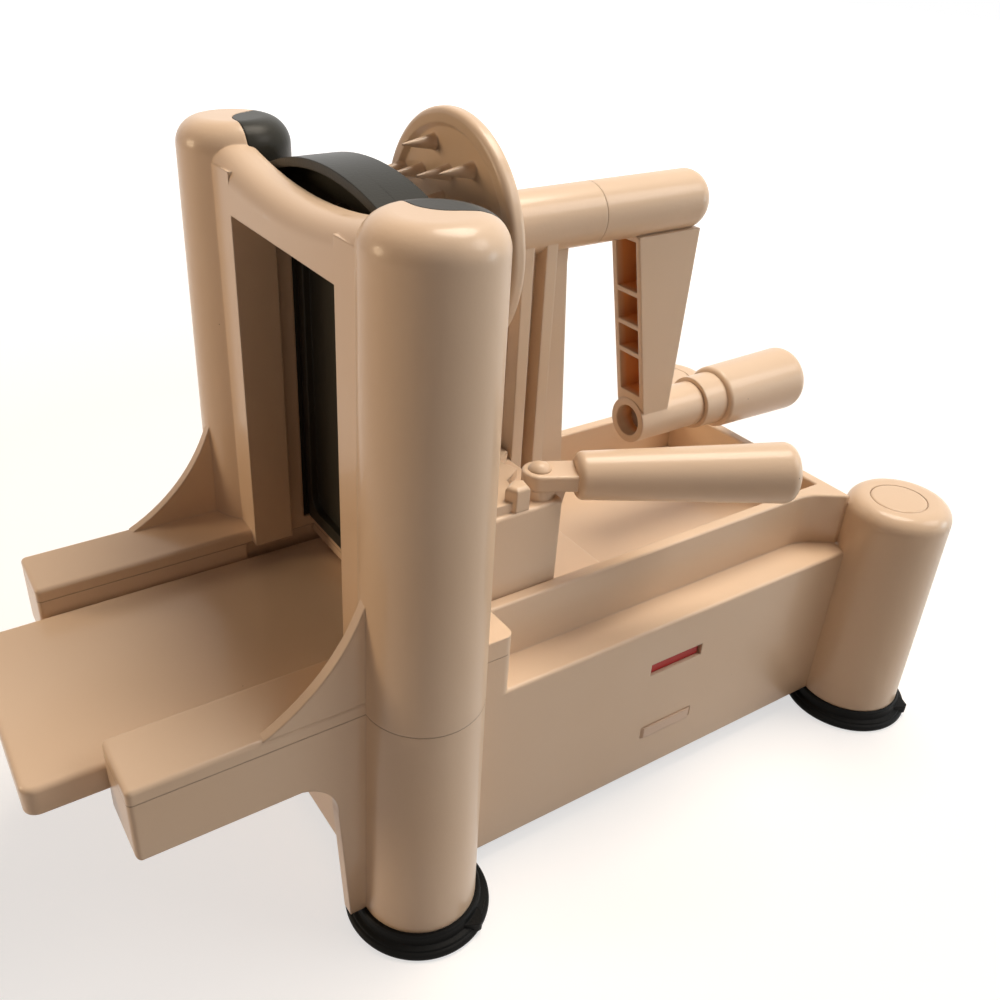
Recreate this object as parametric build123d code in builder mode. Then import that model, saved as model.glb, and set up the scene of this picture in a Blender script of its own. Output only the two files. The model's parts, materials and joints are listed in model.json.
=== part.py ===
from build123d import *
from math import cos, radians, sin
import os

os.makedirs("parts", exist_ok=True)

# Hand-cranked spiral slicer, millimetres. +X runs from the blade end to the crank end,
# +Z is up, and Y = 0 is the middle plane. The origin is on the table under the middle.

# --- driving dimensions -------------------------------------------------------------
front_x, front_y = -60.0, 57.1        # front column centres
rear_x, rear_y = 139.8, 61.1          # rear column centres
foot_lip_r = 23.0
foot_height = 7.4
front_r_bottom, front_r_seam, front_r_top = 18.3, 17.6, 16.8
rear_r_bottom, rear_r_top = 18.9, 18.3
tower_top = 220.0
rear_column_top = 93.4
seam_z = 86.6                         # parting line between the two mouldings
ledge_z = 72.3
wall_top = 92.8
side_y = 55.8                         # outer face of the lower side walls
trough_outer_y, trough_inner_y = 42.3, 37.9
trough_floor = 73.0
rear_wall_x = (121.0, 125.5)
body_rear_x = 124.0
bar_end_x = -142.0
bar_y = (35.6, 57.0)
bar_top, bar_bottom = 91.0, 67.5
web = 3.3                             # thickness of the gusset webs
jamb_front_x, jamb_rear_x = -71.7, -58.5
window_y = 32.3
window_top = 198.0
buttress_rear_x = -28.0
buttress_top = 93.3
groove_x = (-52.4, -42.6)             # slot for the blade holder
groove_y = 45.4
sill_y = 37.6
ear_floor = 203.0                     # floor of the ear pockets in the column tops
plate_front_x, plate_rear_x = -162.8, 30.0
plate_y, plate_top = 35.0, 81.6
block_x = (-34.0, 1.0)
block_y, block_top = 37.4, 121.0
plateau_top = 124.0
shaft_z = 194.7
sleeve_x = (-14.0, 30.3)
sleeve_r, shaft_r = 9.5, 5.0
disc_x = (-21.6, -17.0)
disc_r = 34.0
hub_rear_x = 75.2
crank_radius = 77.4
arm_axis_z = shaft_z - crank_radius
boss_x = (58.4, 88.0)
boss_r = 8.2
grip_x = (88.3, 98.5, 139.0)
pivot_x, pivot_y = -4.2, -30.6
tongue_z = (124.5, 129.5)
lever_angle = -27.3
slot_half_y = 41.2
slot_front_x = -62.0
slot_z = ((13.0, 38.4), (42.2, 66.6))  # lower and upper storage slots
insert_size = (116.0, 82.0, 7.0)       # length, width and thickness of a blade insert
tab_x = (31.0, 54.2)
screw_r = 1.6
sides = (-1, 1)


def write(builder, name):
    builder.part.label = name
    export_step(builder.part, f"parts/{name}.step")


def column(r_low, r_high, z_low, z_high, x, y, round_top=0.0):
    """A slightly tapered round column, with its top edge rounded where asked."""
    with BuildPart() as shape:
        with BuildSketch(Plane.XZ) as profile:
            with BuildLine():
                Polyline((0, z_low), (r_low, z_low), (r_high, z_high), (0, z_high), close=True)
            make_face()
            if round_top:
                fillet(profile.vertices().group_by(Axis.Y)[-1].sort_by(Axis.X)[-1], round_top)
        revolve(axis=Axis.Z)
    return shape.part.moved(Location((x, y, 0)))


def rod(x, y, z, r):
    """A round bar along X."""
    with BuildPart() as shape:
        with BuildSketch(Plane.YZ.offset(x[0])):
            with Locations((y, z)):
                Circle(r)
        extrude(amount=x[1] - x[0])
    return shape.part


def flat_at(axis, value):
    """Picks edges that lie wholly on one plane, such as the rim of a wall at its height."""
    return lambda edge: all(abs(getattr(v, axis) - value) < 0.05 for v in edge.vertices())


def ear_plan(gap):
    """Plan of an ear of the blade holder where it completes a column top."""
    with BuildSketch() as plan:
        with BuildLine():
            edge = Line((-62 + gap, 39.9 + gap), (-62 + gap, 50))
            bend = TangentArc(edge @ 1, (-55, 59.6 - gap), tangent=(0, 1))
            Polyline(bend @ 1, (-50, 62.5 - gap), (-38, 64 - gap), (-38, 39.9 + gap), edge @ 0)
        make_face()
        mirror(about=Plane.XZ)
    return plan.sketch


# --- lower moulding: bars, column feet, storage body and trough ------------------------
arch_r = 14.0
leg_x = -85.8
leg_toe_x = -83.6
with BuildPart() as base_tray:
    # storage body with the ledge along each side
    with BuildSketch(Plane.XY.offset(foot_height)):
        with Locations(((body_rear_x - 74) / 2, 0)):
            Rectangle(body_rear_x + 74, 2 * side_y)
    extrude(amount=ledge_z - foot_height)
    # trough walls and rear wall, with the flare into the rear columns
    with BuildSketch(Plane.XY.offset(ledge_z)) as walls:
        with BuildLine():
            Polyline((-74, 0), (-74, trough_outer_y), (112, trough_outer_y), (124, 50),
                     (rear_wall_x[1], 50), (rear_wall_x[1], 0), close=True)
        make_face()
        fillet(walls.vertices().group_by(Axis.Y)[-2].sort_by(Axis.X)[-1], 16)
        mirror(about=Plane.XZ)
    extrude(amount=wall_top - ledge_z)
    # buttress beside each front column
    with BuildSketch(Plane.XY.offset(ledge_z)) as feet_of_buttress:
        for s in sides:
            with Locations(((buttress_rear_x - 60) / 2, s * (side_y + trough_inner_y) / 2)):
                RectangleRounded(buttress_rear_x + 60, side_y - trough_inner_y, 3)
    extrude(amount=wall_top - ledge_z)
    # front bars with their arched legs
    for s in sides:
        with BuildSketch(Plane.XZ.offset(-s * bar_y[0])) as bar:
            with Locations(((bar_end_x - 62) / 2, (bar_bottom + seam_z) / 2)):
                Rectangle(-62 - bar_end_x, seam_z - bar_bottom)
        extrude(amount=-s * (bar_y[1] - bar_y[0]))
        with BuildSketch(Plane.XZ.offset(-s * (bar_y[1] - 4))) as leg:
            with BuildLine():
                a = Line((-62, foot_height), (leg_toe_x, foot_height))
                b = Line(a @ 1, (leg_x - 0.7, bar_bottom - arch_r - 1))
                c = RadiusArc(b @ 1, (leg_x - arch_r, bar_bottom + 0.4), -arch_r)
                d = Polyline(c @ 1, (leg_x - arch_r, 75), (-62, 75), a @ 0)
            make_face()
        extrude(amount=-s * 4)
    # columns
    for s in sides:
        add(column(front_r_bottom, front_r_seam, foot_height, seam_z, front_x, s * front_y))
        add(column(rear_r_bottom, rear_r_top, foot_height, rear_column_top, rear_x, s * rear_y, 6))
    # everything above the seam at the front belongs to the tower
    with BuildSketch(Plane.XY.offset(seam_z)):
        with Locations(((buttress_rear_x - 170) / 2 + 0.15, 0)):
            Rectangle(buttress_rear_x + 170, 130)
    extrude(amount=20, mode=Mode.SUBTRACT)
    # trough, open at the front between the bars
    with BuildSketch(Plane.XY.offset(trough_floor)):
        with Locations(((rear_wall_x[0] - 74) / 2, 0)):
            Rectangle(rear_wall_x[0] + 74, 2 * trough_inner_y)
        with Locations((-110, 0)):
            Rectangle(80, 2 * bar_y[0])
    extrude(amount=30, mode=Mode.SUBTRACT)
    # storage slots, open at the rear, with a guide groove along each side
    with BuildSketch(Plane.YZ.offset(slot_front_x)):
        for low, high in slot_z:
            with Locations((0, (low + high) / 2)):
                Rectangle(72, high - low)
                Rectangle(2 * slot_half_y, 5.2)
    extrude(amount=body_rear_x + 40 - slot_front_x, mode=Mode.SUBTRACT)
    # hollow side walls with cross ribs, open below
    with BuildSketch(Plane.XY.offset(foot_height)):
        for s in sides:
            with Locations((38, s * (slot_half_y + side_y + 0.6) / 2)):
                with GridLocations(38, 10, 4, 1):
                    Rectangle(35, side_y - slot_half_y - 5.4)
    extrude(amount=ledge_z - 3 - foot_height, mode=Mode.SUBTRACT)
    # windows for the two release tabs in the near wall
    for low, high in slot_z:
        mid = (low + high) / 2
        with BuildSketch(Plane.XZ.offset(slot_half_y - 5)):
            with Locations(((tab_x[0] + tab_x[1]) / 2, mid)):
                Rectangle(tab_x[1] - tab_x[0], 4.7)
        extrude(amount=30, mode=Mode.SUBTRACT)
    # sockets in the column feet, and the screw ways up to the tower
    for s in sides:
        for x, y, top in ((front_x, front_y, seam_z - 6), (rear_x, rear_y, 82)):
            with BuildSketch(Plane.XY.offset(foot_height + 4)):
                with Locations((x, s * y)):
                    Circle(12.5)
            extrude(amount=top - foot_height - 4, mode=Mode.SUBTRACT)
            with BuildSketch(Plane.XY.offset(foot_height)):
                with Locations((x, s * y)):
                    Circle(5)
            extrude(amount=4, mode=Mode.SUBTRACT)
        with Locations((front_x, s * front_y, seam_z)):
            Hole(screw_r + 0.3, depth=8)
        with BuildSketch(Plane.XY.offset(rear_column_top)):
            with Locations((rear_x - 1.5, s * rear_y)):
                Circle(9.9)
        extrude(amount=-2.2, mode=Mode.SUBTRACT)
        with BuildSketch(Plane.XY.offset(rear_column_top)):
            with Locations((rear_x - 1.5, s * rear_y)):
                Circle(3.05)
        extrude(amount=-14, mode=Mode.SUBTRACT)
    # moulded edges
    fillet(base_tray.edges().filter_by(flat_at("Z", wall_top)), 0.9)
    ledge = base_tray.edges().filter_by(flat_at("Z", ledge_z)).filter_by(Axis.X)
    fillet(ledge.filter_by(lambda e: abs(e.center().Y) > side_y - 1), 1.2)
    bar_ends = base_tray.edges().filter_by(flat_at("X", bar_end_x))
    fillet(bar_ends.filter_by(lambda e: e.center().Z < seam_z - 0.1), 1.6)
write(base_tray, "base_tray")

# --- upper moulding: bar tops, gussets, columns, window frame -----------------------------
with BuildPart() as crossbar:
    # dips in the middle and rises into the columns
    with BuildSketch(Plane.YZ.offset(jamb_front_x)):
        with BuildLine():
            saddle = ThreePointArc((-47, 216.3), (0, 210.3), (47, 216.3))
            Polyline(saddle @ 1, (47, window_top), (-47, window_top), saddle @ 0)
        make_face()
    extrude(amount=jamb_rear_x - jamb_front_x)
    fillet(crossbar.edges().filter_by(GeomType.CIRCLE).sort_by(Axis.X)[0], 7)
    fillet(crossbar.edges().filter_by(GeomType.CIRCLE).sort_by(Axis.X)[-1], 4)

with BuildPart() as bar_top_half:
    with BuildSketch(Plane.XY.offset(seam_z)):
        with Locations(((bar_end_x - 62) / 2, 0)):
            Rectangle(-62 - bar_end_x, bar_y[1] - bar_y[0])
    extrude(amount=bar_top - seam_z)
    fillet(bar_top_half.edges().group_by(Axis.X)[0].filter_by(Axis.Z), 1.6)
    fillet(bar_top_half.edges().group_by(Axis.Z)[-1].sort_by(Axis.X)[:-1], 1.3)

with BuildPart() as tower:
    for s in sides:
        add(column(front_r_seam, front_r_top, seam_z, tower_top, front_x, s * front_y, 8))
        add(bar_top_half.part.moved(Location((0, s * (bar_y[0] + bar_y[1]) / 2, 0))))
        # gusset web with its hollow curve
        with BuildSketch(Plane.XZ.offset(-s * (bar_y[1] - web))):
            with BuildLine():
                low = (-107, bar_top - 0.2)
                high = (-76.5, 125)
                a = RadiusArc(low, high, -58)
                b = Polyline(a @ 1, (-65, 125), (-65, bar_top - 0.2), a @ 0)
            make_face()
        extrude(amount=-s * web)
        # jambs beside the window
        with BuildSketch(Plane.XY.offset(seam_z)):
            with Locations(((jamb_front_x + jamb_rear_x) / 2, s * (window_y + 53.5) / 2)):
                Rectangle(jamb_rear_x - jamb_front_x, 53.5 - window_y)
        extrude(amount=210 - seam_z)
        # rear rail behind the holder groove
        with BuildSketch(Plane.XY.offset(seam_z)):
            with Locations((-50.1, s * 43)):
                Rectangle(18.8, 14)
        extrude(amount=203 - seam_z)
        # buttress top
        with BuildSketch(Plane.XY.offset(seam_z)):
            with Locations(((buttress_rear_x - 60) / 2, s * (side_y + trough_inner_y) / 2)):
                RectangleRounded(buttress_rear_x + 60, side_y - trough_inner_y, 3)
        extrude(amount=buttress_top - seam_z)
    add(crossbar.part)
    # sill just over the sliding plate
    with BuildSketch(Plane.XZ.offset(-sill_y)):
        with Locations((-46.2, (plate_top + 0.9 + 90.5) / 2)):
            RectangleRounded(5, 90.5 - plate_top - 0.9, 1.5)
    extrude(amount=2 * sill_y)
    # groove for the blade holder, wide enough at the top for its ears
    with BuildSketch(Plane.XY.offset(90.5)):
        with Locations(((groove_x[0] + groove_x[1]) / 2, 0)):
            Rectangle(groove_x[1] - groove_x[0], 2 * groove_y)
    extrude(amount=140, mode=Mode.SUBTRACT)
    with BuildSketch(Plane.XY.offset(ear_floor)):
        add(ear_plan(0))
    extrude(amount=30, mode=Mode.SUBTRACT)
    # screw pilots and lightening bores in the columns
    for s in sides:
        with BuildSketch(Plane.XY.offset(seam_z)):
            with Locations((front_x, s * front_y)):
                Circle(screw_r)
        extrude(amount=14, mode=Mode.SUBTRACT)
        with BuildSketch(Plane.XY.offset(seam_z + 18)):
            with Locations((front_x, s * (front_y + 1.5))):
                Circle(10)
        extrude(amount=90, mode=Mode.SUBTRACT)
write(tower, "tower")

# --- suction feet, plugs, screws ---------------------------------------------------------
foot_places = {
    "front_near": (front_x, -front_y), "front_far": (front_x, front_y),
    "rear_near": (rear_x, -rear_y), "rear_far": (rear_x, rear_y),
}
for place, (x, y) in foot_places.items():
    with BuildPart() as foot:
        with BuildSketch(Plane.XZ):
            with BuildLine():
                cup = RadiusArc((0, 4.2), (20, 0), 55)
                rim = Line(cup @ 1, (22, 0))
                lip = ThreePointArc(rim @ 1, (foot_lip_r, 1.2), (22.4, 2.6))
                step = Polyline(lip @ 1, (21.7, 2.9), (21.7, 3.5), (20.2, 4.0), (19.9, foot_height - 0.6))
                Polyline(step @ 1, (19.3, foot_height), (4.8, foot_height), (4.8, 11.6), (6.2, 12.2),
                         (4.6, 16.5), (0, 16.5), cup @ 0)
            make_face()
        revolve(axis=Axis.Z)
        # pull tab lying on the lip
        with BuildSketch(Plane.XY.offset(2.0)):
            with Locations((8.0, -17.2)):
                RectangleRounded(8.6, 6.4, 1.6, rotation=-25)
        extrude(amount=3.2)
    foot.part = foot.part.moved(Location((x, y, 0)))
    write(foot, f"foot_{place}")

for s, place in zip(sides, ("near", "far")):
    with BuildPart(Plane.XY.offset(rear_column_top)) as plug:
        with Locations((rear_x - 1.5, s * rear_y, -1.0)):
            Cylinder(9.8, 2.4)
        fillet(plug.edges().group_by(Axis.Z)[-1], 0.8)
        with Locations((rear_x - 1.5, s * rear_y, -7.7)):
            Cylinder(3.0, 11.2)
    write(plug, f"column_plug_{place}")

with BuildPart() as base_screws:
    for s in sides:
        with Locations((front_x, s * front_y, 0)):
            with Locations((0, 0, seam_z - 7.2)):
                Cylinder(3.6, 2.4)
            with Locations((0, 0, seam_z + 2.5)):
                Cylinder(screw_r, 18)
write(base_screws, "base_screws")

# --- release tabs in the near wall ----------------------------------------------------------
tab_faces = (side_y + 0.6, side_y - 1.0)
tab_gap = 2.4                         # room to press a tab in
for name, face_y, (low, high) in zip(("tab_lower", "tab_upper"), tab_faces, slot_z):
    mid = (low + high) / 2
    with BuildPart() as tab:
        with BuildSketch(Plane.XZ.offset(slot_half_y + tab_gap)):
            with Locations(((tab_x[0] + tab_x[1]) / 2, mid)):
                Rectangle(tab_x[1] - tab_x[0] - 0.3, 4.4)
        extrude(amount=face_y - slot_half_y - tab_gap)
        chamfer(tab.faces().sort_by(Axis.Y)[0].edges().filter_by(Axis.Z), 0.9)
    write(tab, name)

# --- blade insert: one frame pattern for the fitted insert and the two stored ones ----------
insert_l, insert_w, insert_t = insert_size
core_at = 103.7                       # core tube centre, from the lower end of the insert
core_r = 8.6
blade_slot = (22.0, 92.0)
slot_y = (-6.0, 4.0)


def insert_frame():
    """Flat panel with thinner edges, a raised border, the blade slot and the core hole."""
    with BuildPart() as panel:
        with BuildSketch(Plane.XY.offset(-2.5)):
            with Locations((insert_l / 2, 0)):
                RectangleRounded(insert_l, insert_w, 3)
        extrude(amount=5)
        with BuildSketch(Plane.XY.offset(-insert_t / 2)):
            with Locations((insert_l / 2, 0)):
                RectangleRounded(insert_l - 1, 71, 2.5)
        extrude(amount=insert_t)
        # shallow pan on both faces
        for side, depth in ((1, 1.6), (-1, 2.2)):
            with BuildSketch(Plane.XY.offset(side * insert_t / 2)):
                with Locations((insert_l / 2 - 6, 0)):
                    RectangleRounded(insert_l - 22, 63, 6)
            extrude(amount=-side * depth, mode=Mode.SUBTRACT)
        # boss round the core tube, and the seat of the blade
        with BuildSketch(Plane.XY.offset(-insert_t / 2)):
            with Locations((core_at, 0)):
                Circle(core_r + 2.6)
        extrude(amount=insert_t)
        with BuildSketch(Plane.XY.offset(-0.5)):
            with Locations((57, 13.5)):
                Rectangle(82, 13)
        extrude(amount=insert_t / 2 + 0.5)
        with Locations((core_at, 0)):
            Hole(core_r)
        with BuildSketch(Plane.XY.offset(-insert_t)):
            with Locations(((blade_slot[0] + blade_slot[1]) / 2, (slot_y[0] + slot_y[1]) / 2)):
                RectangleRounded(blade_slot[1] - blade_slot[0], slot_y[1] - slot_y[0], 2)
        extrude(amount=3 * insert_t, mode=Mode.SUBTRACT)
        for x in (26, 88):
            with Locations((x, 15, insert_t / 2)):
                Hole(1.0, depth=5)
        # finger notch in the upper end
        with BuildSketch(Plane.XY.offset(-insert_t)):
            with Locations((insert_l + 4, 22), (insert_l + 4, -22)):
                Circle(7)
        extrude(amount=3 * insert_t, mode=Mode.SUBTRACT)
    return panel


def straight_blade():
    """Steel strip along the slot, its ground edge raised off the panel."""
    with BuildPart() as blade:
        with BuildSketch(Plane.YZ.offset(20)):
            with BuildLine():
                Polyline((20, 3.5), (20, 4.3), (9.5, 4.3), (1.2, 6.2), (0.6, 6.0), (9.2, 3.5),
                         close=True)
            make_face()
        extrude(amount=74)
        with Locations((26, 15, 4.3), (88, 15, 4.3)):
            Hole(1.35)
    return blade


def comb_blade(pitch):
    """Row of upright teeth in front of the slot that splits the slice into strands."""
    with BuildPart() as comb:
        with BuildSketch(Plane.YZ.offset(20)):
            with BuildLine():
                Polyline((-6.6, 1.9), (-6.6, 2.9), (-13, 2.9), (-13, 1.9), close=True)
            make_face()
        extrude(amount=72)
        with BuildSketch(Plane.XZ.offset(6.6)):
            for i in range(int(68 / pitch)):
                with Locations((24 + i * pitch, 2.4)):
                    Polygon((-0.9, 0), (0.9, 0), (0.9, 5.2), (0, 7.6), (-0.9, 5.2), align=None)
        extrude(amount=0.9)
    return comb


def blade_screws():
    with BuildPart() as screws:
        for x in (26, 88):
            with Locations((x, 15, 4.3)):
                Cylinder(2.3, 1.2, align=(Align.CENTER, Align.CENTER, Align.MIN))
                Cylinder(0.95, 5, align=(Align.CENTER, Align.CENTER, Align.MAX))
    return screws


def core_tube():
    """Thin steel tube with a sharpened rim that cuts the core."""
    with BuildPart() as tube:
        with BuildSketch(Plane.XZ):
            with BuildLine():
                Polyline((core_r, -3.0), (core_r, 6.6), (core_r - 0.3, 8.0), (core_r - 0.8, 6.6),
                         (core_r - 0.8, -3.0), close=True)
            make_face()
        revolve(axis=Axis.Z)
    tube.part = tube.part.moved(Location((core_at, 0, 0)))
    return tube


fitted = Plane(origin=(-47.5, 0, 91.2), x_dir=(0, 0, 1), z_dir=(1, 0, 0))
stored = [Plane(origin=(5.5, 0, (low + high) / 2)) for low, high in slot_z]
insert_sets = {
    "fitted": (fitted, {"panel": insert_frame(), "blade": straight_blade(),
                        "core_tube": core_tube(), "screws": blade_screws()}),
    "stored_lower": (stored[0], {"panel": insert_frame(), "blade": straight_blade(),
                                 "comb": comb_blade(6.4), "screws": blade_screws()}),
    "stored_upper": (stored[1], {"panel": insert_frame(), "blade": straight_blade(),
                                 "comb": comb_blade(3.2), "screws": blade_screws()}),
}
for set_name, (place, pieces) in insert_sets.items():
    for piece_name, piece in pieces.items():
        piece.part = piece.part.moved(place.location)
        write(piece, f"{set_name}_{piece_name}")

# --- blade holder with its arched hood and ears --------------------------------------------
holder_x = (-52.0, -43.0)
holder_y = 45.0
hood_z = 217.4
hood_x = (-58.2, -43.0)
with BuildPart() as ears:
    for s in sides:
        add(column(front_r_seam, front_r_top, seam_z, tower_top, front_x, s * front_y, 8))
    with BuildSketch(Plane.XY.offset(ear_floor + 0.05)):
        add(ear_plan(0.25))
    extrude(amount=30, mode=Mode.INTERSECT)

with BuildPart() as blade_holder:
    with BuildSketch(Plane.YZ.offset(holder_x[0])):
        with BuildLine():
            hood = ThreePointArc((-holder_y, 206.6), (0, hood_z), (holder_y, 206.6))
            Polyline(hood @ 1, (holder_y, 90.9), (-holder_y, 90.9), hood @ 0)
        make_face()
    extrude(amount=holder_x[1] - holder_x[0])
    with BuildSketch(Plane.YZ.offset(hood_x[0])):
        with BuildLine():
            top = ThreePointArc((-44, 207.0), (0, hood_z), (44, 207.0))
            down = Line(top @ 1, (44, 204.4))
            low = ThreePointArc(down @ 1, (0, hood_z - 2.6), (-44, 204.4))
            Line(low @ 1, top @ 0)
        make_face()
    extrude(amount=hood_x[1] - hood_x[0])
    add(ears.part)
    # opening between the rails, and the groove that holds the insert
    with BuildSketch(Plane.YZ.offset(-55)):
        with Locations((0, 145)):
            Rectangle(73.2, 112)
        with Locations((0, shaft_z)):
            Circle(12)
    extrude(amount=20, mode=Mode.SUBTRACT)
    with BuildSketch(Plane.YZ.offset(-50.1)):
        with Locations((0, 148)):
            Rectangle(2 * 41.2, 120)
    extrude(amount=5.2, mode=Mode.SUBTRACT)
    with BuildSketch(Plane.YZ.offset(-51.2)):
        with Locations((0, 148)):
            Rectangle(73.2, 119.6)
    extrude(amount=7.4, mode=Mode.SUBTRACT)
write(blade_holder, "blade_holder")

# --- carriage: sliding plate and the upright with the crank sleeve --------------------------
plate_low = trough_floor + 0.05
with BuildPart() as sliding_plate:
    with BuildSketch(Plane.XY.offset(plate_low)):
        with Locations(((plate_front_x + plate_rear_x) / 2, 0)):
            RectangleRounded(plate_rear_x - plate_front_x, 2 * plate_y, 4)
    extrude(amount=plate_top - plate_low)
    fillet(sliding_plate.faces().sort_by(Axis.Z)[-1].edges(), 1.6)
    with BuildSketch(Plane.XY.offset(plate_low)) as hollow:
        with Locations(((plate_front_x + plate_rear_x) / 2, 0)):
            RectangleRounded(plate_rear_x - plate_front_x - 6, 2 * plate_y - 6, 2)
        for x in range(-135, 30, 27):
            with Locations((x, 0)):
                Rectangle(2, 2 * plate_y, mode=Mode.SUBTRACT)
    extrude(amount=plate_top - plate_low - 3, mode=Mode.SUBTRACT)
write(sliding_plate, "sliding_plate")

post_x = (1.0, 5.0)
rib_x = (9.5, 13.5)
with BuildPart() as upright:
    with BuildSketch(Plane.XY.offset(plate_top)):
        with Locations(((block_x[0] + block_x[1]) / 2, 0)):
            RectangleRounded(block_x[1] - block_x[0], 2 * block_y, 2)
    extrude(amount=block_top - plate_top)
    fillet(upright.faces().sort_by(Axis.Z)[-1].edges(), 1.2)
    with BuildSketch(Plane.XY.offset(block_top)):
        with BuildLine():
            Polyline((-32, -35.8), (-15, -35.8), (-12.5, -30), (-11, -24), (-4, -19.5),
                     (-6.4, -13), (-0.5, -9), (-0.5, 36), (-32, 36), close=True)
        make_face()
    extrude(amount=plateau_top - block_top)
    # stop boss and seat for the side lever
    with BuildSketch(Plane.XY.offset(block_top)):
        with BuildLine():
            Polyline((-18.6, -33.4), (-14.6, -30.7), (-10.9, -31.8), (-12.0, -36.9), (-16.8, -37.0),
                     close=True)
        make_face()
    extrude(amount=7.8)
    fillet(upright.faces().sort_by(Axis.Z)[-1].edges(), 1.5)
    with BuildSketch(Plane.XY.offset(block_top)):
        with Locations((pivot_x, pivot_y)):
            Circle(5.2)
    extrude(amount=tongue_z[0] - block_top - 0.05)
    with BuildSketch(Plane.XZ.offset(30)):
        with BuildLine():
            Polyline((0, 103), (5.4, tongue_z[0] - 0.3), (-1, tongue_z[0] - 0.3), (-1, 103),
                     close=True)
        make_face()
    extrude(amount=3.4)
    # post: front flange, cross rib and the web between them
    for x in (post_x, rib_x):
        with BuildSketch(Plane.YZ.offset(x[0])):
            with BuildLine():
                Polyline((-10, plate_top), (10, plate_top), (8, shaft_z - 5), (-8, shaft_z - 5),
                         close=True)
            make_face()
        extrude(amount=x[1] - x[0])
    with BuildSketch(Plane.XZ.offset(-3)):
        with BuildLine():
            Polyline((0, plate_top), (27, plate_top), (27, 110), (21.6, 181), (21.6, shaft_z - 3),
                     (1, shaft_z - 3), close=True)
        make_face()
    extrude(amount=6)
    add(rod(sleeve_x, 0, shaft_z, sleeve_r))
    with BuildSketch(Plane.YZ.offset(sleeve_x[0])):
        with Locations((0, shaft_z)):
            Circle(shaft_r + 1.6)
    extrude(amount=sleeve_x[1] - sleeve_x[0], mode=Mode.SUBTRACT)
    with BuildSketch(Plane.XY.offset(tongue_z[0])):
        with Locations((pivot_x, pivot_y)):
            Circle(2.6)
    extrude(amount=-16, mode=Mode.SUBTRACT)
write(upright, "upright")

with BuildPart() as shaft_bushes:
    for x in ((sleeve_x[0], sleeve_x[0] + 12), (sleeve_x[1] - 12, sleeve_x[1])):
        with BuildSketch(Plane.YZ.offset(x[0])):
            with Locations((0, shaft_z)):
                Circle(shaft_r + 1.6)
                Circle(shaft_r + 0.05, mode=Mode.SUBTRACT)
        extrude(amount=x[1] - x[0])
write(shaft_bushes, "shaft_bushes")

# --- side lever -----------------------------------------------------------------------------
lever_plane = Plane(origin=(pivot_x, pivot_y, 0), x_dir=(cos(radians(lever_angle)),
                    sin(radians(lever_angle)), 0), z_dir=(0, 0, 1))
grip_from, grip_to = 11.0, 79.0
with BuildPart() as lever_arm:
    with BuildSketch(Plane.XY.offset(tongue_z[0])):
        with Locations((20, 0)):
            SlotCenterToCenter(40, 10.8)
        Circle(2.5, mode=Mode.SUBTRACT)
    extrude(amount=tongue_z[1] - tongue_z[0])
    fillet(lever_arm.edges().group_by(Axis.Z)[-1].sort_by(SortBy.LENGTH)[1:], 0.9)
lever_arm.part = lever_arm.part.moved(lever_plane.location)
write(lever_arm, "lever_arm")

with BuildPart() as lever_grip:
    with BuildSketch(Plane.XZ) as profile:
        with BuildLine():
            Polyline((grip_from, 0), (grip_from, 7.4), (grip_to, 9.6), (grip_to, 0), close=True)
        make_face()
        fillet(profile.vertices().group_by(Axis.Y)[-1], 3.5)
        fillet(profile.vertices().group_by(Axis.X)[0].sort_by(Axis.Y)[-1], 2.5)
    revolve(axis=Axis.X)
    with BuildSketch(Plane.YZ.offset(grip_from)):
        Rectangle(10.8, tongue_z[1] - tongue_z[0])
    extrude(amount=34.4, mode=Mode.SUBTRACT)
lever_grip.part = lever_grip.part.moved(Location((0, 0, 127.0))).moved(lever_plane.location)
write(lever_grip, "lever_grip")

head_r, head_h = 3.6, 2.3
dome_r = (head_r ** 2 + head_h ** 2) / (2 * head_h)
with BuildPart() as lever_pivot:
    with BuildSketch(Plane.XZ):
        with BuildLine():
            head = RadiusArc((head_r, tongue_z[1]), (0, tongue_z[1] + head_h), -dome_r)
            Polyline(head @ 1, (0, tongue_z[0] - 15), (2.5, tongue_z[0] - 15),
                     (2.5, tongue_z[1]), head @ 0)
        make_face()
    revolve(axis=Axis.Z)
lever_pivot.part = lever_pivot.part.moved(lever_plane.location)
write(lever_pivot, "lever_pivot")

# --- crank: shaft, spiked disc, arm and grip ---------------------------------------------------
shaft_seat = 8.5                      # closed end of the hub behind the shaft
with BuildPart() as drive_shaft:
    add(rod((disc_x[0] + 2.6, hub_rear_x - shaft_seat), 0, shaft_z, shaft_r))
write(drive_shaft, "drive_shaft")

prong_places = [(8.7, 23.6), (25.4, 13.0), (15.0, 14.4), (0.8, 16.9), (-10.8, 19.9),
                (4.1, 8.9), (-11.6, 9.2)]
with BuildPart() as spiked_disc:
    with BuildSketch(Plane.XZ) as profile:
        with BuildLine():
            Polyline((disc_x[0], disc_r - 4), (disc_x[0], disc_r), (disc_x[1], disc_r),
                     (disc_x[1], 9.4), (sleeve_x[0] - 0.1, 9.4), (sleeve_x[0] - 0.1, 0),
                     (disc_x[0] + 1.5, 0), (disc_x[0] + 1.5, disc_r - 5.2), close=True)
        make_face()
        fillet(profile.vertices().group_by(Axis.Y)[-1], 1.7)
    revolve(axis=Axis.X)
    for y, z in prong_places + [(-y, -z) for y, z in prong_places]:
        with Locations(Location((disc_x[0] + 1.5, y, z), (0, -90, 0))):
            Cone(2.3, 0.25, 10.2, align=(Align.CENTER, Align.CENTER, Align.MIN))
    with BuildSketch(Plane.YZ.offset(disc_x[0] + 2.6)):
        Circle(shaft_r)
    extrude(amount=20, mode=Mode.SUBTRACT)
    with BuildSketch(Plane.YZ.offset(disc_x[0])):
        Circle(1.6)
    extrude(amount=20, mode=Mode.SUBTRACT)
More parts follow.
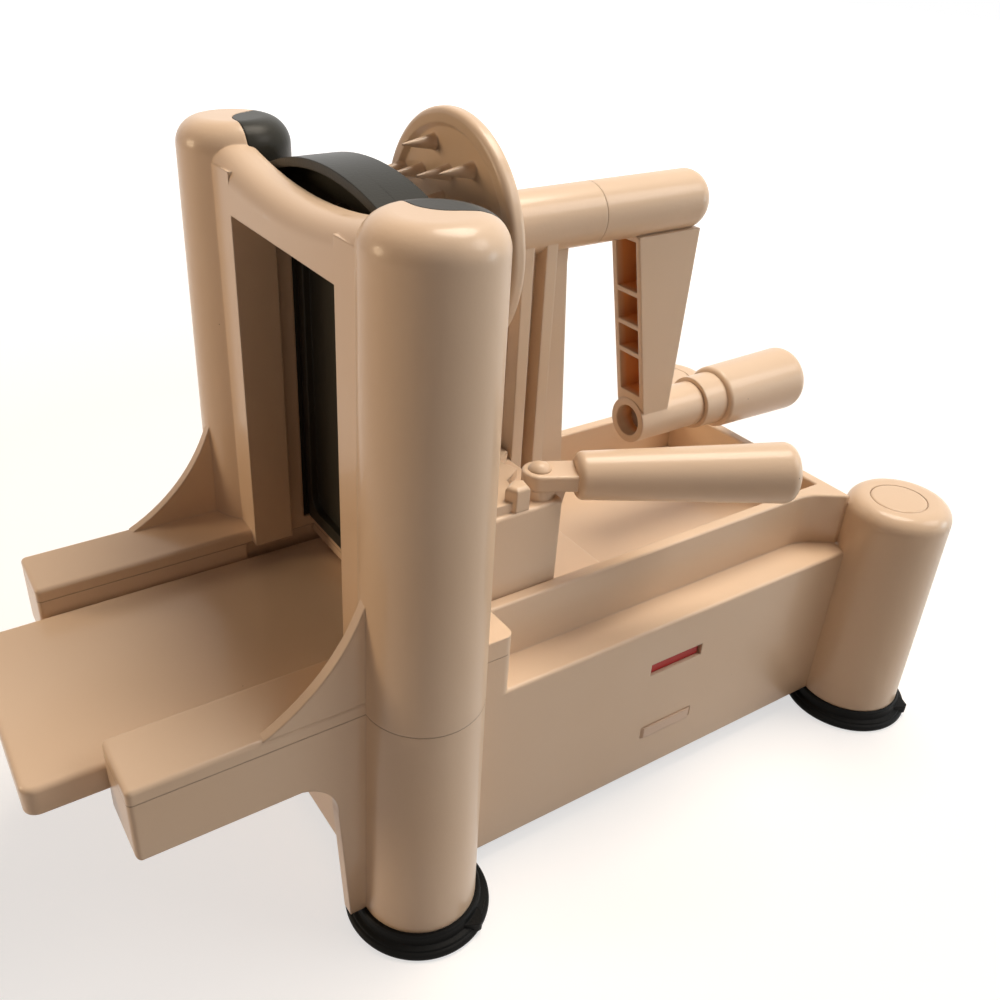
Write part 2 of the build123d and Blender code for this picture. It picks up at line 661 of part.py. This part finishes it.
spiked_disc.part = spiked_disc.part.moved(Location((0, 0, shaft_z)))
write(spiked_disc, "spiked_disc")

arm_top, arm_bottom = 186.5, 124.0
arm_width = 13.6
boss_recess = 9.0
with BuildPart() as crank_arm:
    with BuildSketch(Plane.XZ) as profile:
        with BuildLine():
            Polyline((sleeve_x[1] + 0.1, 0), (sleeve_x[1] + 0.1, sleeve_r), (hub_rear_x, sleeve_r),
                     (hub_rear_x, 0), close=True)
        make_face()
        fillet(profile.vertices().group_by(Axis.Y)[-1].sort_by(Axis.X)[-1], 6)
    revolve(axis=Axis.X)
    crank_arm.part = crank_arm.part.moved(Location((0, 0, shaft_z)))
    with BuildSketch(Plane.XZ.offset(-arm_width / 2)):
        with BuildLine():
            Polyline((46.6, arm_top), (72.3, arm_top), (70.4, 118), (60.4, 118), (58.8, arm_bottom),
                     close=True)
        make_face()
    extrude(amount=arm_width)
    add(rod(boss_x, 0, arm_axis_z, boss_r))
    # open channel with cross ribs
    with BuildSketch(Plane.XZ.offset(1.9 - arm_width / 2)):
        with BuildLine():
            Polyline((30, 184.5), (69.4, 184.5), (67.8, 128.5), (30, 128.5), close=True)
        make_face()
        for z in (166.5, 154.6, 144.2):
            with Locations((60, z)):
                Rectangle(30, 1.8, mode=Mode.SUBTRACT)
    extrude(amount=arm_width - 3.8, mode=Mode.SUBTRACT)
    with BuildSketch(Plane.YZ.offset(boss_x[0])):
        with Locations((0, arm_axis_z)):
            Circle(5.6)
    extrude(amount=boss_recess, mode=Mode.SUBTRACT)
    with BuildSketch(Plane.YZ.offset(boss_x[0])):
        with Locations((0, arm_axis_z)):
            Circle(3.5)
    extrude(amount=30, mode=Mode.SUBTRACT)
    with BuildSketch(Plane.YZ.offset(sleeve_x[1])):
        with Locations((0, shaft_z)):
            Circle(shaft_r)
    extrude(amount=hub_rear_x - shaft_seat - sleeve_x[1], mode=Mode.SUBTRACT)
write(crank_arm, "crank_arm")

with BuildPart() as grip_axle:
    add(rod((boss_x[0] + boss_recess, grip_x[2] - 9), 0, arm_axis_z, 3.5))
    add(rod((boss_x[0] + boss_recess - 3, boss_x[0] + boss_recess), 0, arm_axis_z, 4.6))
write(grip_axle, "grip_axle")

with BuildPart() as crank_grip:
    with BuildSketch(Plane.XZ) as profile:
        with BuildLine():
            Polyline((grip_x[0], 3.6), (grip_x[0], 9.65), (grip_x[1], 9.65), (grip_x[1], 11.4),
                     (grip_x[2], 12.1), (grip_x[2], 0), (grip_x[2] - 8.5, 0),
                     (grip_x[2] - 8.5, 3.6), close=True)
        make_face()
        fillet(profile.vertices().group_by(Axis.Y)[-1], 4)
        fillet(profile.vertices().sort_by(Axis.X)[2:5].sort_by(Axis.Y)[-1], 1.5)
    revolve(axis=Axis.X)
crank_grip.part = crank_grip.part.moved(Location((0, 0, arm_axis_z)))
write(crank_grip, "crank_grip")
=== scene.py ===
import bpy
import json
from math import cos, radians, sin
from mathutils import Matrix, Vector

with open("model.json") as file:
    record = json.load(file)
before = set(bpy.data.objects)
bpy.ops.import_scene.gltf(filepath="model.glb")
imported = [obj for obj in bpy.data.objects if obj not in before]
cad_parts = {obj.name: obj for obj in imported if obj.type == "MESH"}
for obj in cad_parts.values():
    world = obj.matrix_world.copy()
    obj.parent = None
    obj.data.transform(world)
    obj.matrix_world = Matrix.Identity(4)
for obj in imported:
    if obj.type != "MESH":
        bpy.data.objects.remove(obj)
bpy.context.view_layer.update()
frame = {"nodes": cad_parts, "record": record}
nodes = frame["nodes"]
print("frame loaded:", len(nodes), "nodes")


# camera, as the photograph was taken
cameraSettings = {
    "place": (-0.1705, -0.2360, 0.2768),     # m
    "heading": 57.49,        # degrees from +X towards +Y
    "down": 30.49,
    "roll": 1.87,
    "sensor": 36,            # mm, as the lens
    "lens": 36.10,
    "shift": (0.0603, -0.0135),
    "nearest": 0.01,         # m
}


def addCamera(settings):
    heading, down, roll = (radians(settings[k]) for k in ("heading", "down", "roll"))
    forward = Vector((cos(down) * cos(heading), cos(down) * sin(heading), -sin(down)))
    level = Vector((sin(heading), -cos(heading), 0))
    right = cos(roll) * level + sin(roll) * level.cross(forward)
    up = right.cross(forward)
    data = bpy.data.cameras.new("photoCamera")
    data.sensor_width = settings["sensor"]
    data.lens = settings["lens"]
    data.shift_x, data.shift_y = settings["shift"]
    data.clip_start = settings["nearest"]
    camera = bpy.data.objects.new("photoCamera", data)
    turn = Matrix((right, up, -forward)).transposed().to_4x4()
    camera.matrix_world = Matrix.Translation(settings["place"]) @ turn
    bpy.context.collection.objects.link(camera)
    bpy.context.scene.camera = camera


addCamera(cameraSettings)
print("camera placed")


# shader helpers
def addNode(tree, kind, **values):
    # a value goes to the node's own setting, or else to the input of that name
    made = tree.nodes.new(kind)
    for key, value in values.items():
        if hasattr(made, key):
            setattr(made, key, value)
        else:
            made.inputs[key].default_value = value
    return made


def newGroup(name, inputs, outputs):
    group = bpy.data.node_groups.new(name, "ShaderNodeTree")
    for label, kind, value in inputs:
        socket = group.interface.new_socket(label, in_out="INPUT", socket_type=kind)
        socket.default_value = value
    for label, kind in outputs:
        group.interface.new_socket(label, in_out="OUTPUT", socket_type=kind)
    return group, group.nodes.new("NodeGroupInput"), group.nodes.new("NodeGroupOutput")


colour, number, direction = "NodeSocketColor", "NodeSocketFloat", "NodeSocketVector"


def mottleGroup():
    # slow drift between two tones of one material
    noiseReach = (0.15, 0.85)               # the noise seldom goes past these
    group, start, end = newGroup("plasticMottle", [
        ("Tone", colour, (1, 1, 1, 1)), ("Shade", colour, (1, 1, 1, 1)),
        ("Scale", number, 20.0)], [("Color", colour)])
    place = addNode(group, "ShaderNodeTexCoord")
    drift = addNode(group, "ShaderNodeTexNoise", Detail=2.0, Roughness=0.5)
    ramp = addNode(group, "ShaderNodeMapRange", interpolation_type="SMOOTHSTEP")
    ramp.inputs["From Min"].default_value, ramp.inputs["From Max"].default_value = noiseReach
    mix = addNode(group, "ShaderNodeMix", data_type="RGBA")
    link = group.links.new
    link(place.outputs["Object"], drift.inputs["Vector"])
    link(start.outputs["Scale"], drift.inputs["Scale"])
    link(drift.outputs["Fac"], ramp.inputs["Value"])
    link(ramp.outputs["Result"], mix.inputs["Factor"])
    link(start.outputs["Tone"], mix.inputs["A"])
    link(start.outputs["Shade"], mix.inputs["B"])
    link(mix.outputs["Result"], end.inputs["Color"])
    return group


def speckGroup():
    # small dark specks and crumbs, a few to the palm
    group, start, end = newGroup("darkSpecks", [
        ("Scale", number, 90.0), ("Size", number, 0.05), ("Share", number, 0.12)],
        [("Mask", number)])
    place = addNode(group, "ShaderNodeTexCoord")
    cells = addNode(group, "ShaderNodeTexVoronoi")
    close = addNode(group, "ShaderNodeMath", operation="LESS_THAN")
    split = addNode(group, "ShaderNodeSeparateColor")
    chosen = addNode(group, "ShaderNodeMath", operation="LESS_THAN")
    both = addNode(group, "ShaderNodeMath", operation="MULTIPLY")
    link = group.links.new
    link(place.outputs["Object"], cells.inputs["Vector"])
    link(start.outputs["Scale"], cells.inputs["Scale"])
    link(cells.outputs["Distance"], close.inputs[0])
    link(start.outputs["Size"], close.inputs[1])
    link(cells.outputs["Color"], split.inputs["Color"])
    link(split.outputs["Red"], chosen.inputs[0])
    link(start.outputs["Share"], chosen.inputs[1])
    link(close.outputs["Value"], both.inputs[0])
    link(chosen.outputs["Value"], both.inputs[1])
    link(both.outputs["Value"], end.inputs["Mask"])
    return group


def scratchGroup():
    # short straight hairlines, at most one to each cell of a stretched pattern
    group, start, end = newGroup("hairScratches", [
        ("Stretch", direction, (1.0, 1.0, 1.0)), ("Scale", number, 60.0),
        ("Width", number, 0.01), ("Share", number, 0.3)], [("Mask", number)])
    place = addNode(group, "ShaderNodeTexCoord")
    warp = addNode(group, "ShaderNodeMapping", vector_type="POINT")
    cells = addNode(group, "ShaderNodeTexVoronoi")
    thin = addNode(group, "ShaderNodeMath", operation="LESS_THAN")
    split = addNode(group, "ShaderNodeSeparateColor")
    some = addNode(group, "ShaderNodeMath", operation="LESS_THAN")
    both = addNode(group, "ShaderNodeMath", operation="MULTIPLY")
    link = group.links.new
    link(place.outputs["Object"], warp.inputs["Vector"])
    link(start.outputs["Stretch"], warp.inputs["Scale"])
    link(warp.outputs["Vector"], cells.inputs["Vector"])
    link(start.outputs["Scale"], cells.inputs["Scale"])
    link(cells.outputs["Distance"], thin.inputs[0])
    link(start.outputs["Width"], thin.inputs[1])
    link(cells.outputs["Color"], split.inputs["Color"])
    link(split.outputs["Green"], some.inputs[0])
    link(start.outputs["Share"], some.inputs[1])
    link(thin.outputs["Value"], both.inputs[0])
    link(some.outputs["Value"], both.inputs[1])
    link(both.outputs["Value"], end.inputs["Mask"])
    return group


def bandGroup():
    # 1 in a thin band at one height, and only before one X
    group, start, end = newGroup("partingLine", [
        ("Height", number, 0.0), ("Half", number, 0.0003), ("Before", number, 0.0)],
        [("Mask", number)])
    place = addNode(group, "ShaderNodeTexCoord")
    split = addNode(group, "ShaderNodeSeparateXYZ")
    near = addNode(group, "ShaderNodeMath", operation="COMPARE")
    front = addNode(group, "ShaderNodeMath", operation="LESS_THAN")
    both = addNode(group, "ShaderNodeMath", operation="MULTIPLY")
    link = group.links.new
    link(place.outputs["Object"], split.inputs["Vector"])
    link(split.outputs["Z"], near.inputs[0])
    link(start.outputs["Height"], near.inputs[1])
    link(start.outputs["Half"], near.inputs[2])
    link(split.outputs["X"], front.inputs[0])
    link(start.outputs["Before"], front.inputs[1])
    link(near.outputs["Value"], both.inputs[0])
    link(front.outputs["Value"], both.inputs[1])
    link(both.outputs["Value"], end.inputs["Mask"])
    return group


def channelGlowGroup():
    # rises to 1 inside a channel, between walls at both sides and behind a sloping front; it
    # marks where the painted glow goes, the orange of light coming through thin plastic walls
    group, start, end = newGroup("channelPaintedGlow", [
        ("Half", number, 0.005), ("Slope", number, 0.2), ("Front", number, 0.08),
        ("Depth", number, 0.003), ("Middle", number, 0.15), ("Reach", number, 0.03),
        ("Back", number, 0.07)], [("Mask", number)])
    place = addNode(group, "ShaderNodeTexCoord")
    split = addNode(group, "ShaderNodeSeparateXYZ")
    side = addNode(group, "ShaderNodeMath", operation="ABSOLUTE")
    between = addNode(group, "ShaderNodeMath", operation="LESS_THAN")
    rise = addNode(group, "ShaderNodeMath", operation="MULTIPLY_ADD")
    behind = addNode(group, "ShaderNodeMath", operation="SUBTRACT")
    share = addNode(group, "ShaderNodeMath", operation="DIVIDE", use_clamp=True)
    tall = addNode(group, "ShaderNodeMath", operation="COMPARE")
    ahead = addNode(group, "ShaderNodeMath", operation="LESS_THAN")
    inside = addNode(group, "ShaderNodeMath", operation="MULTIPLY")
    within = addNode(group, "ShaderNodeMath", operation="MULTIPLY")
    both = addNode(group, "ShaderNodeMath", operation="MULTIPLY")
    link = group.links.new
    link(place.outputs["Object"], split.inputs["Vector"])
    link(split.outputs["X"], ahead.inputs[0])
    link(start.outputs["Back"], ahead.inputs[1])
    link(split.outputs["Y"], side.inputs[0])
    link(side.outputs["Value"], between.inputs[0])
    link(start.outputs["Half"], between.inputs[1])
    link(split.outputs["Z"], rise.inputs[0])
    link(start.outputs["Slope"], rise.inputs[1])
    link(split.outputs["X"], rise.inputs[2])
    link(rise.outputs["Value"], behind.inputs[0])
    link(start.outputs["Front"], behind.inputs[1])
    link(behind.outputs["Value"], share.inputs[0])
    link(start.outputs["Depth"], share.inputs[1])
    link(split.outputs["Z"], tall.inputs[0])
    link(start.outputs["Middle"], tall.inputs[1])
    link(start.outputs["Reach"], tall.inputs[2])
    link(between.outputs["Value"], inside.inputs[0])
    link(tall.outputs["Value"], inside.inputs[1])
    link(inside.outputs["Value"], within.inputs[0])
    link(ahead.outputs["Value"], within.inputs[1])
    link(within.outputs["Value"], both.inputs[0])
    link(share.outputs["Value"], both.inputs[1])
    link(both.outputs["Value"], end.inputs["Mask"])
    return group


groups = {"mottle": mottleGroup(), "specks": speckGroup(), "scratches": scratchGroup(),
          "band": bandGroup(), "cavity": channelGlowGroup()}


def newMaterial(name):
    material = bpy.data.materials.new(name)
    material.use_nodes = True
    tree = material.node_tree
    return material, tree, tree.nodes["Principled BSDF"]


def useGroup(tree, name, **values):
    made = tree.nodes.new("ShaderNodeGroup")
    made.node_tree = groups[name]
    for key, value in values.items():
        made.inputs[key].default_value = value
    return made


def mixTo(tree, before, mask, tint, strength):
    # lays a tint over a colour where the mask is 1
    amount = addNode(tree, "ShaderNodeMath", operation="MULTIPLY")
    amount.inputs[1].default_value = strength
    mix = addNode(tree, "ShaderNodeMix", data_type="RGBA")
    mix.inputs["B"].default_value = tint
    tree.links.new(mask, amount.inputs[0])
    tree.links.new(amount.outputs["Value"], mix.inputs["Factor"])
    tree.links.new(before, mix.inputs["A"])
    return mix.outputs["Result"]


def grainBump(tree, shader, grain):
    # faint moulding texture over softly rounded edges
    deepest = 0.0004                        # m
    place = addNode(tree, "ShaderNodeTexCoord")
    noise = addNode(tree, "ShaderNodeTexNoise", Scale=grain["scale"], Detail=2.0)
    bump = addNode(tree, "ShaderNodeBump", Strength=grain["strength"], Distance=deepest)
    soft = addNode(tree, "ShaderNodeBevel", samples=4, Radius=grain["edge"])
    tree.links.new(place.outputs["Object"], noise.inputs["Vector"])
    tree.links.new(noise.outputs["Fac"], bump.inputs["Height"])
    tree.links.new(soft.outputs["Normal"], bump.inputs["Normal"])
    tree.links.new(bump.outputs["Normal"], shader.inputs["Normal"])


def roughnessDrift(tree, shader, span, scale):
    place = addNode(tree, "ShaderNodeTexCoord")
    smear = addNode(tree, "ShaderNodeTexNoise", Scale=scale, Detail=3.0)
    limits = addNode(tree, "ShaderNodeMapRange")
    limits.inputs["To Min"].default_value, limits.inputs["To Max"].default_value = span
    tree.links.new(place.outputs["Object"], smear.inputs["Vector"])
    tree.links.new(smear.outputs["Fac"], limits.inputs["Value"])
    tree.links.new(limits.outputs["Result"], shader.inputs["Roughness"])


# cream plastic of the casing, carriage, lever and crank
creamSettings = {
    "tone": (0.74, 0.565, 0.415, 1),
    "shade": (0.71, 0.520, 0.360, 1),
    "mottleScale": 14.0,
    "roughness": (0.29, 0.36),
    "roughnessScale": 35.0,
    "refraction": 1.5,
    "gloss": 0.25,
    "coatWeight": 0.18,
    "coatRoughness": 0.08,
    "grain": {"scale": 900.0, "strength": 0.05, "edge": 0.0009},
    "specks": {"Scale": 150.0, "Size": 0.035, "Share": 0.05},
    "speckTint": (0.20, 0.12, 0.07, 1),
    "speckStrength": 0.7,
    "scratches": {"Stretch": (0.12, 2.2, 1.6), "Scale": 60.0, "Width": 0.018, "Share": 0.25},
    "scratchTint": (0.86, 0.78, 0.68, 1),
    "scratchStrength": 0.25,
}
# parting line around the front columns and bars
seamSettings = {
    "group": "band",
    "values": {"Height": 0.0866, "Half": 0.0002, "Before": -0.030},
    "tint": (0.28, 0.17, 0.10, 1),
    "strength": 0.5,
}
# painted orange glow of the light that comes through the thin walls of the crank arm's channel
channelGlowSettings = {
    "group": "cavity",
    "values": {"Half": 0.00575, "Slope": 0.195, "Front": 0.0832, "Depth": 0.003,
               "Middle": 0.1478, "Reach": 0.0369, "Back": 0.0695},
    "tint": (0.86, 0.40, 0.13, 1),
    "strength": 0.85,
}


def creamPlastic(name, extra=None):
    look = creamSettings
    material, tree, shader = newMaterial(name)
    mottle = useGroup(tree, "mottle", Tone=look["tone"], Shade=look["shade"],
                      Scale=look["mottleScale"])
    specks = useGroup(tree, "specks", **look["specks"])
    lines = useGroup(tree, "scratches", **look["scratches"])
    tint = mixTo(tree, mottle.outputs["Color"], specks.outputs["Mask"],
                 look["speckTint"], look["speckStrength"])
    tint = mixTo(tree, tint, lines.outputs["Mask"], look["scratchTint"], look["scratchStrength"])
    if extra:
        mark = useGroup(tree, extra["group"], **extra["values"])
        tint = mixTo(tree, tint, mark.outputs["Mask"], extra["tint"], extra["strength"])
    tree.links.new(tint, shader.inputs["Base Color"])
    roughnessDrift(tree, shader, look["roughness"], look["roughnessScale"])
    shader.inputs["IOR"].default_value = look["refraction"]
    shader.inputs["Specular IOR Level"].default_value = look["gloss"]
    shader.inputs["Coat Weight"].default_value = look["coatWeight"]
    shader.inputs["Coat Roughness"].default_value = look["coatRoughness"]
    grainBump(tree, shader, look["grain"])
    return material


# holder and inserts, feet, tabs and bushes
plainSettings = {
    "oliveGreyPlastic": {"tone": (0.042, 0.040, 0.032, 1), "shade": (0.028, 0.027, 0.022, 1),
                         "roughness": (0.30, 0.36), "grain": 0.08, "gloss": 0.10},
    "footRubber": {"tone": (0.006, 0.006, 0.006, 1), "shade": (0.011, 0.011, 0.010, 1),
                   "roughness": (0.44, 0.50), "grain": 0.2, "gloss": 0.08},
    "redTab": {"tone": (0.46, 0.022, 0.018, 1), "shade": (0.36, 0.015, 0.012, 1),
               "roughness": (0.3, 0.4), "grain": 0.08, "gloss": 0.2},
    "paleTab": {"tone": (0.72, 0.53, 0.40, 1), "shade": (0.66, 0.47, 0.34, 1),
                "roughness": (0.29, 0.36), "grain": 0.08, "gloss": 0.4},
    "nylonBush": {"tone": (0.70, 0.62, 0.50, 1), "shade": (0.62, 0.54, 0.42, 1),
                  "roughness": (0.4, 0.5), "grain": 0.08, "gloss": 0.4},
}
plainScales = {"mottle": 30.0, "roughness": 35.0, "grain": 1200.0, "edge": 0.0006}


def plainPlastic(name):
    look = plainSettings[name]
    material, tree, shader = newMaterial(name)
    shader.inputs["Specular IOR Level"].default_value = look["gloss"]
    mottle = useGroup(tree, "mottle", Tone=look["tone"], Shade=look["shade"],
                      Scale=plainScales["mottle"])
    tree.links.new(mottle.outputs["Color"], shader.inputs["Base Color"])
    roughnessDrift(tree, shader, look["roughness"], plainScales["roughness"])
    grainBump(tree, shader, {"scale": plainScales["grain"], "strength": look["grain"],
                             "edge": plainScales["edge"]})
    return material


# blades and combs, and then screws, shaft and axle
metalSettings = {
    "bladeSteel": {"tone": (0.62, 0.62, 0.63, 1), "shade": (0.50, 0.50, 0.51, 1),
                   "roughness": (0.16, 0.26), "stretch": (1.0, 1.0, 0.1)},
    "platedSteel": {"tone": (0.60, 0.60, 0.60, 1), "shade": (0.50, 0.50, 0.50, 1),
                    "roughness": (0.15, 0.26), "stretch": (0.1, 1.0, 1.0)},
}
grindSettings = {
    "mottleScale": 25.0,
    "roughnessScale": 80.0,
    "lines": {"Scale": 300.0, "Width": 0.05, "Share": 0.5},
    "lineTint": (0.85, 0.85, 0.85, 1),
    "lineStrength": 0.3,
    "grain": {"scale": 1500.0, "strength": 0.03, "edge": 0.0002},
}


def metal(name):
    look, grind = metalSettings[name], grindSettings
    material, tree, shader = newMaterial(name)
    mottle = useGroup(tree, "mottle", Tone=look["tone"], Shade=look["shade"],
                      Scale=grind["mottleScale"])
    lines = useGroup(tree, "scratches", Stretch=look["stretch"], **grind["lines"])
    tint = mixTo(tree, mottle.outputs["Color"], lines.outputs["Mask"],
                 grind["lineTint"], grind["lineStrength"])
    tree.links.new(tint, shader.inputs["Base Color"])
    roughnessDrift(tree, shader, look["roughness"], grind["roughnessScale"])
    shader.inputs["Metallic"].default_value = 1.0
    grainBump(tree, shader, grind["grain"])
    return material


# keys are the record's material slots, apart from body and arm
finishes = {
    "body": creamPlastic("creamBody", seamSettings),
    "cream_plastic": creamPlastic("creamPlastic"),
    # the arm's finish carries the painted glow inside its channel
    "arm": creamPlastic("creamArm", channelGlowSettings),
    "olive_plastic": plainPlastic("oliveGreyPlastic"),
    "rubber": plainPlastic("footRubber"),
    "red_plastic": plainPlastic("redTab"),
    "white_plastic": plainPlastic("paleTab"),
    "nylon": plainPlastic("nylonBush"),
    "blade_steel": metal("bladeSteel"),
    "steel": metal("platedSteel"),
}
ownFinish = {"base_tray": "body", "tower": "body", "crank_arm": "arm"}
slots = {part["node"]: part["material_slot"] for part in frame["record"]["subparts"]}
for name, node in nodes.items():
    node.data.materials.clear()
    node.data.materials.append(finishes[ownFinish.get(name, slots[name])])
print("finishes laid on")


# floor, lamps and world
stageSettings = {
    "floorSize": 6.0,                       # m
    "floorTone": (0.46, 0.43, 0.40, 1),
    "floorRoughness": 0.9,
    "cameraLift": (0.62, 1.0),              # near the object and far from it
    "liftFrom": (0.35, 0.95),               # distances from the object, m
    "worldWarm": (0.28, 0.15, 0.08, 1),     # the side of the columns
    "worldCool": (0.50, 0.50, 0.53, 1),     # the side of the crank
    "worldStrength": 0.30,
}
lampAim = Vector((0, 0, 0.1))
lampSettings = {
    "topLamp": {"place": (0.33, 0.06, 1.05), "size": 0.55, "energy": 9.5,
                "tint": (1.0, 0.90, 0.77)},
    "leftLamp": {"place": (-1.3, 0.65, 0.50), "size": 0.5, "energy": 7.5,
                 "tint": (1.0, 0.76, 0.50)},
    "rightLamp": {"place": (0.95, -0.70, 1.10), "size": 0.7, "energy": 6.8,
                  "tint": (1.0, 0.95, 0.90)},
    "coolLamp": {"place": (1.3, -0.75, 0.30), "size": 0.5, "energy": 2.8,
                 "tint": (0.70, 0.90, 1.0)},
}


def seenRays(tree):
    # 1 for what the camera sees, straight, in a gloss or through glass
    path = addNode(tree, "ShaderNodeLightPath")
    straight = addNode(tree, "ShaderNodeMath", operation="MAXIMUM")
    either = addNode(tree, "ShaderNodeMath", operation="MAXIMUM")
    tree.links.new(path.outputs["Is Camera Ray"], straight.inputs[0])
    tree.links.new(path.outputs["Is Glossy Ray"], straight.inputs[1])
    tree.links.new(straight.outputs["Value"], either.inputs[0])
    tree.links.new(path.outputs["Is Transmission Ray"], either.inputs[1])
    return either.outputs["Value"]


def addFloor(settings):
    half = settings["floorSize"] / 2
    mesh = bpy.data.meshes.new("floor")
    corners = [(-half, -half, 0), (half, -half, 0), (half, half, 0), (-half, half, 0)]
    mesh.from_pydata(corners, [], [(0, 1, 2, 3)])
    floor = bpy.data.objects.new("floor", mesh)
    bpy.context.collection.objects.link(floor)
    material, tree, shader = newMaterial("paleFloor")
    shader.inputs["Base Color"].default_value = settings["floorTone"]
    shader.inputs["Roughness"].default_value = settings["floorRoughness"]
    shader.inputs["Emission Color"].default_value = (1, 1, 1, 1)
    # whiter away from the object, so that the floor has no visible end
    place = addNode(tree, "ShaderNodeTexCoord")
    reach = addNode(tree, "ShaderNodeVectorMath", operation="LENGTH")
    lift = addNode(tree, "ShaderNodeMapRange")
    for limit, start, result in zip(("Min", "Max"), settings["liftFrom"], settings["cameraLift"]):
        lift.inputs["From " + limit].default_value = start
        lift.inputs["To " + limit].default_value = result
    seen = addNode(tree, "ShaderNodeMath", operation="MULTIPLY")
    tree.links.new(place.outputs["Object"], reach.inputs[0])
    tree.links.new(reach.outputs["Value"], lift.inputs["Value"])
    tree.links.new(seenRays(tree), seen.inputs[0])
    tree.links.new(lift.outputs["Result"], seen.inputs[1])
    tree.links.new(seen.outputs["Value"], shader.inputs["Emission Strength"])
    mesh.materials.append(material)


def addLamps(settings):
    for name, kept in settings.items():
        data = bpy.data.lights.new(name, "AREA")
        data.shape = "DISK"
        data.size = kept["size"]
        data.energy = kept["energy"]
        data.color = kept["tint"]
        lamp = bpy.data.objects.new(name, data)
        lamp.location = kept["place"]
        aim = lampAim - Vector(kept["place"])
        lamp.rotation_euler = aim.to_track_quat("-Z", "Y").to_euler()
        bpy.context.collection.objects.link(lamp)


def addWorld(settings):
    # two tones from end to end as light, and plain white where it is seen
    world = bpy.data.worlds.new("studio")
    world.use_nodes = True
    bpy.context.scene.world = world
    tree = world.node_tree
    tree.nodes.clear()
    place = addNode(tree, "ShaderNodeTexCoord")
    split = addNode(tree, "ShaderNodeSeparateXYZ")
    across = addNode(tree, "ShaderNodeMapRange")
    across.inputs["From Min"].default_value = -1.0
    tint = addNode(tree, "ShaderNodeMix", data_type="RGBA")
    tint.inputs["A"].default_value = settings["worldWarm"]
    tint.inputs["B"].default_value = settings["worldCool"]
    light = addNode(tree, "ShaderNodeBackground", Strength=settings["worldStrength"])
    tree.links.new(place.outputs["Generated"], split.inputs["Vector"])
    tree.links.new(split.outputs["X"], across.inputs["Value"])
    tree.links.new(across.outputs["Result"], tint.inputs["Factor"])
    tree.links.new(tint.outputs["Result"], light.inputs["Color"])
    white = addNode(tree, "ShaderNodeBackground", Color=(1, 1, 1, 1), Strength=1.0)
    mix = addNode(tree, "ShaderNodeMixShader")
    out = addNode(tree, "ShaderNodeOutputWorld")
    tree.links.new(seenRays(tree), mix.inputs["Fac"])
    tree.links.new(light.outputs["Background"], mix.inputs[1])
    tree.links.new(white.outputs["Background"], mix.inputs[2])
    tree.links.new(mix.outputs["Shader"], out.inputs["Surface"])


addFloor(stageSettings)
addLamps(lampSettings)
addWorld(stageSettings)
bpy.context.scene.view_settings.view_transform = "Standard"
print("stage lit")
